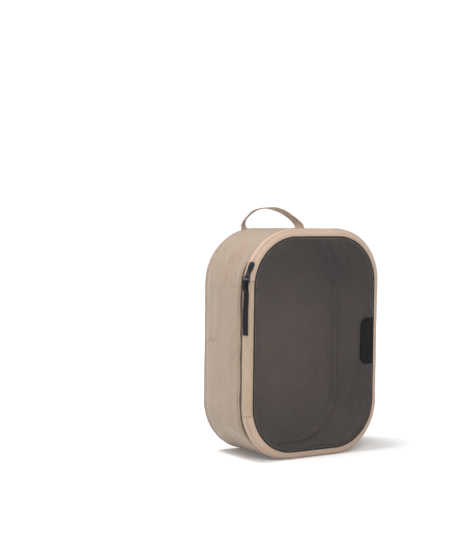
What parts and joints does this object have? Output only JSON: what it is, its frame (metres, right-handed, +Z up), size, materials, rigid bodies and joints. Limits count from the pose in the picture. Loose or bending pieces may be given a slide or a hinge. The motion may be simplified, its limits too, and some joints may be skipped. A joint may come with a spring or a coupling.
{
  "type": "packing cube",
  "caption": "Soft rounded packing cube with a mesh lid hinged on one side, a curved zip with a pull strap, and a webbing carry handle.",
  "frame": {"origin": "middle of the flat bottom the cube stands on", "axes": "+Z up, the mesh lid faces -Y, its hinge is on the -X side, the back panel faces +Y"},
  "size_m": [0.2055, 0.116, 0.3081],
  "materials": {
    "beige_nylon": "ripstop weave, faint sheen",
    "zip_tape_beige": "fine ribbed tape",
    "zip_coil_beige": "nylon coil",
    "beige_webbing": "ribbed webbing",
    "seam_lining": "folded seam cloth",
    "black_binding": "woven binding",
    "smoke_mesh": "see-through mesh",
    "black_rubber": "matt",
    "black_thread": "thread",
    "gunmetal": "dark satin"
  },
  "bodies": {
    "cube": {"side_gusset": "beige_nylon", "gusset_front_seam": "seam_lining", "rear_binding": "zip_tape_beige", "rear_inner_seam": "seam_lining", "back_panel": "beige_nylon", "zip_tape_outer_start": "zip_tape_beige", "zip_tape_outer": "zip_tape_beige", "zip_coil_outer": "zip_coil_beige", "zip_end_stop": "zip_coil_beige", "handle_anchor_left": "beige_webbing", "handle_anchor_right": "beige_webbing"},
    "handle": {"handle_webbing": "beige_webbing"},
    "lid": {"hinge_strip": "beige_nylon", "hinge_hem_top": "beige_nylon", "hinge_hem_bottom": "beige_nylon", "zip_tape_inner": "zip_tape_beige", "zip_coil_inner": "zip_coil_beige", "window_binding": "black_binding", "window_mesh": "smoke_mesh", "window_seam_allowance": "seam_lining", "label_patch": "black_rubber"},
    "slider": {"slider_body": "gunmetal", "slider_crown": "gunmetal"},
    "tab": {"pull_tab": "gunmetal"},
    "puller": {"puller_strap": "black_rubber", "puller_stitching": "black_thread"}
  },
  "joints": [
    {"name": "lid_hinge", "type": "hinge", "parent": "cube", "child": "lid", "pos_m": [-0.1, -0.038, 0.14], "axis": [0, 0, -1], "range_deg": [0, 120], "deforming": ["zip_tape_outer_start"]},
    {"name": "slider_travel", "type": "hinge", "parent": "lid", "child": "slider", "pos_m": [-0.03, -0.04557, 0.21], "axis": [0, 1, 0], "range_deg": [0, 63]},
    {"name": "tab_pivot", "type": "hinge", "parent": "slider", "child": "tab", "pos_m": [-0.09587, -0.04747, 0.23621], "axis": [-0.5536, 0.8031, 0.2203], "range_deg": [0, 100]},
    {"name": "strap_pivot", "type": "hinge", "parent": "tab", "child": "puller", "pos_m": [-0.10209, -0.04641, 0.21671], "axis": [-0.5959, 0.8031, 0], "range_deg": [0, 40]},
    {"name": "handle_fold", "type": "hinge", "parent": "cube", "child": "handle", "pos_m": [0, 0.0465, 0.2805], "axis": [1, 0, 0], "range_deg": [-70, 80]}
  ]
}
